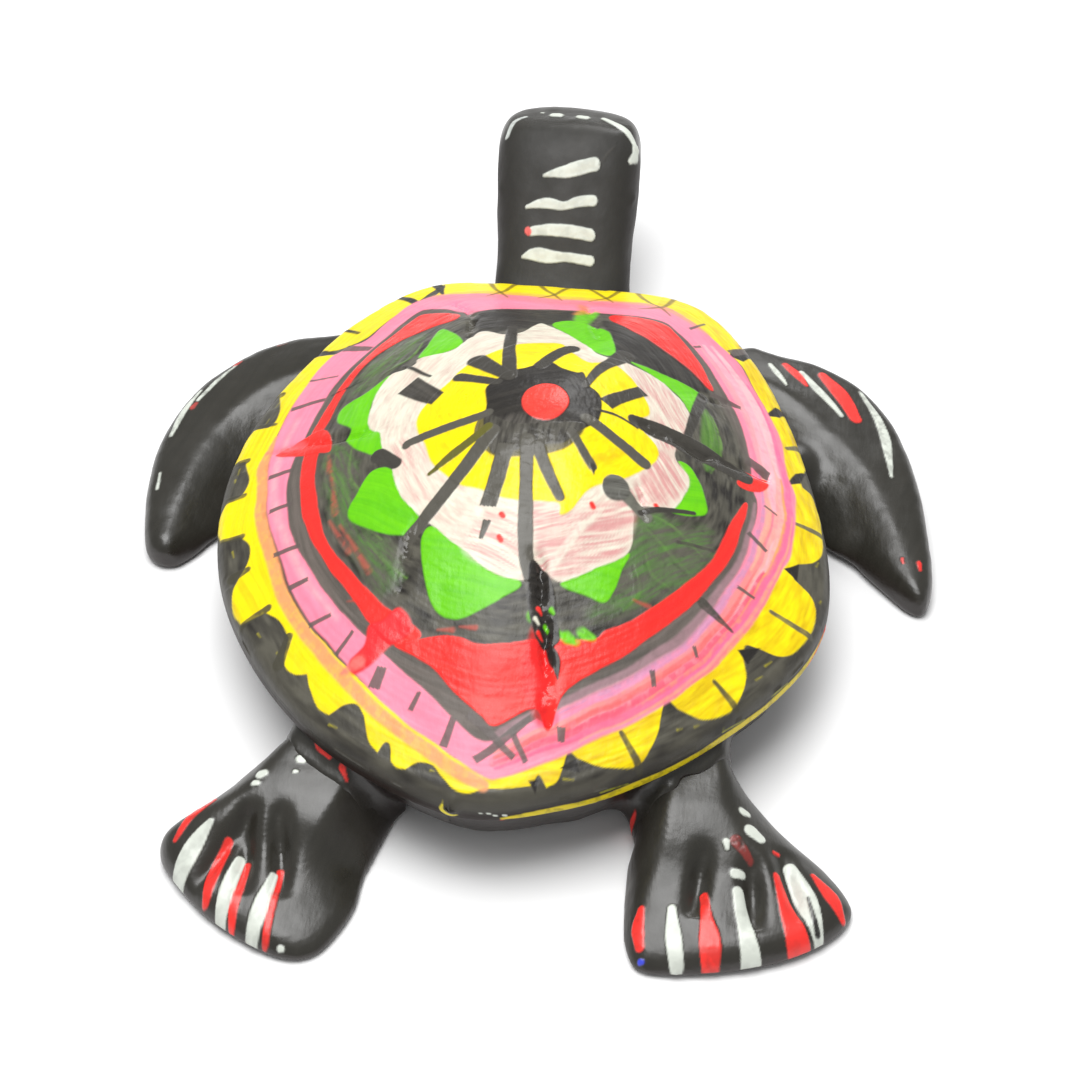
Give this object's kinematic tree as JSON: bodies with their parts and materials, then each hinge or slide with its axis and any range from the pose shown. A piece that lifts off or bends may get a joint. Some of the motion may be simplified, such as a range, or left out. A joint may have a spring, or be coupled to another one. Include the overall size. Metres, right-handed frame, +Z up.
{
  "type": "painted sea turtle figure",
  "caption": "Free-standing carved and painted sea turtle figure with a domed patterned shell, raised head, swept flippers and splayed hind legs.",
  "frame": {"origin": "middle of the flat belly face that the figure rests on", "axes": "+Z up, +Y from tail to head along the shell's centreline, +X towards the turtle's right-hand side"},
  "size_m": [0.1184, 0.1524, 0.0366],
  "materials": {
    "shell_paint": "brush-painted wood: yellow, pink, red, green, cream and black in satin enamel",
    "black_paint": "black satin enamel over carved wood",
    "painted_putty": "rough wood putty under black paint",
    "raw_wood": "plain unpainted wood"
  },
  "bodies": {
    "root": {"carapace": "shell_paint", "belly_block": "black_paint", "head": "black_paint", "front_left_flipper": "black_paint", "front_right_flipper": "black_paint", "hind_left_leg": "black_paint", "hind_right_leg": "black_paint", "neck_filler": "painted_putty", "front_left_filler": "painted_putty", "front_right_filler": "painted_putty", "hind_left_filler": "painted_putty", "hind_right_filler": "painted_putty", "neck_peg": "raw_wood", "front_left_peg": "raw_wood", "front_right_peg": "raw_wood", "hind_left_peg": "raw_wood", "hind_right_peg": "raw_wood", "shell_dowel_front": "raw_wood", "shell_dowel_rear": "raw_wood"}
  },
  "joints": []
}
